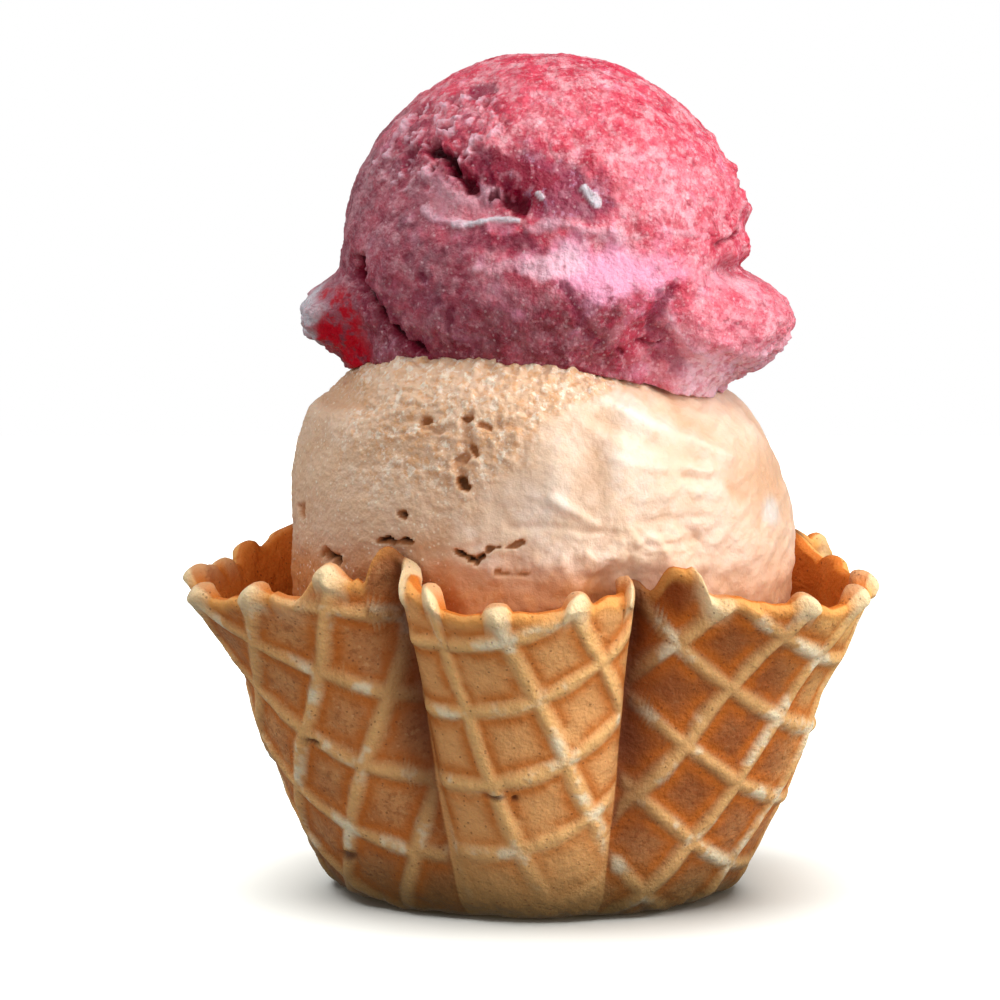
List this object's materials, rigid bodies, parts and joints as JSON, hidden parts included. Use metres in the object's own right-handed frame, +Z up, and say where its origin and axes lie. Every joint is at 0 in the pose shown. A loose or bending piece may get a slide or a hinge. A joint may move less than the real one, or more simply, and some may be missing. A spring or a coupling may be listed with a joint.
{
  "type": "ice cream waffle bowl",
  "caption": "Fluted waffle bowl standing on its flat base, holding a caramel ice cream scoop with a berry sorbet scoop on top.",
  "frame": {"origin": "middle of the underside of the bowl's flat base, on the table", "axes": "+Z up through the scoops, -Y towards the front flute, +X to the right seen from the front"},
  "size_m": [0.1104, 0.1092, 0.1334],
  "materials": {
    "waffle": null,
    "caramel_ice_cream": null,
    "berry_sorbet": null
  },
  "bodies": {
    "root": {"waffle_bowl": "waffle", "caramel_scoop": "caramel_ice_cream", "sorbet_scoop": "berry_sorbet"}
  },
  "joints": []
}
